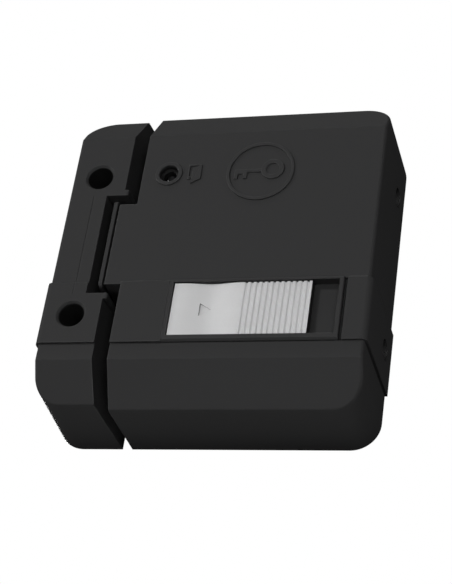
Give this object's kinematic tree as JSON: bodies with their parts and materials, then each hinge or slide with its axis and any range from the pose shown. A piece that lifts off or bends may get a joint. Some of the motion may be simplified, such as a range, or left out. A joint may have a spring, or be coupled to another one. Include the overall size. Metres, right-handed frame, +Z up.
{
  "type": "electric rim lock",
  "caption": "Surface-mounted electric rim lock with a sliding release handle, a hold-open button, a spring latch, its solenoid and key linkage, and a matching strike.",
  "frame": {"origin": "centre of the rectangle of the lock's four fixing holes, on the door surface", "axes": "+X away from the strike towards the lock's rear side, +Z up the door, +Y into the door; the front with the slide handle faces -Y and the strike lies at -X"},
  "size_m": [0.1277, 0.0424, 0.133],
  "materials": {
    "case_plastic": "fine grained black",
    "bezel_plastic": "smooth black",
    "silver": "silver grey, satin",
    "black_steel": "black powder coat",
    "bolt_steel": "nickel plated",
    "zinc_steel": "zinc plated",
    "spring_steel": "drawn wire",
    "screw_steel": "black oxide",
    "hub_brass": "turned",
    "nylon": "natural nylon",
    "copper_wire": "enamelled copper winding",
    "terminal_plastic": "light grey",
    "lead_red": "red insulation",
    "grommet_rubber": "black rubber"
  },
  "bodies": {
    "lock_body": {"case_cover": "case_plastic", "slider_bezel": "bezel_plastic", "base_plate": "black_steel", "cover_screws": "screw_steel", "latch_guide": "zinc_steel", "latch_spring": "spring_steel", "spring_post": "zinc_steel", "lever_pivot": "bolt_steel", "lever_clip": "spring_steel", "solenoid_frame": "zinc_steel", "solenoid_bobbin": "nylon", "solenoid_coil": "copper_wire", "pole_piece": "bolt_steel", "hub_bridge": "zinc_steel", "button_bracket": "zinc_steel", "button_spring": "spring_steel", "terminal_block": "terminal_plastic", "terminal_screws": "zinc_steel", "coil_leads": "lead_red", "cable_grommet": "grommet_rubber", "mechanism_screws": "zinc_steel", "strike_cover": "case_plastic", "strike_keeper": "black_steel"},
    "latch": {"latch_bolt": "bolt_steel", "latch_tail": "zinc_steel", "latch_rivets": "zinc_steel"},
    "slide_handle": {"slider": "silver", "slider_retainer": "zinc_steel"},
    "lever": {"release_lever": "zinc_steel", "lever_pin": "bolt_steel"},
    "plunger_group": {"plunger": "bolt_steel", "plunger_pin": "bolt_steel"},
    "hub": {"cylinder_hub": "hub_brass", "hub_crank": "zinc_steel", "crank_pin": "bolt_steel"},
    "button": {"hold_open_button": "bezel_plastic"}
  },
  "joints": [
    {"name": "latch_slide", "type": "slide", "parent": "lock_body", "child": "latch", "axis": [1, 0, 0], "range_m": [0, 0.0092], "stiffness_N_per_m": 700, "springref_m": -0.008, "deforming": ["latch_spring"]},
    {"name": "handle_slide", "type": "slide", "parent": "lock_body", "child": "slide_handle", "axis": [1, 0, 0], "range_m": [0, 0.0092]},
    {"name": "lever_turn", "type": "hinge", "parent": "lock_body", "child": "lever", "pos_m": [-0.008, -0.0168, -0.0575], "axis": [0, 1, 0], "range_deg": [0, 11]},
    {"name": "plunger_slide", "type": "slide", "parent": "lock_body", "child": "plunger_group", "axis": [1, 0, 0], "range_m": [0, 0.00307]},
    {"name": "hub_turn", "type": "hinge", "parent": "lock_body", "child": "hub", "pos_m": [0, -0.0075, 0.0315], "axis": [0, -1, 0], "range_deg": [0, 45.1]},
    {"name": "button_press", "type": "slide", "parent": "lock_body", "child": "button", "axis": [0, 1, 0], "range_m": [0, 0.003], "stiffness_N_per_m": 300, "springref_m": -0.003, "deforming": ["button_spring"]}
  ],
  "couplings": [
    {"joint": "handle_slide", "follows": "latch_slide", "ratio": 1},
    {"joint": "lever_turn", "follows": "latch_slide", "rad_per_m": 20.865},
    {"joint": "plunger_slide", "follows": "latch_slide", "ratio": 0.33333},
    {"joint": "hub_turn", "follows": "latch_slide", "rad_per_m": 85.522}
  ]
}
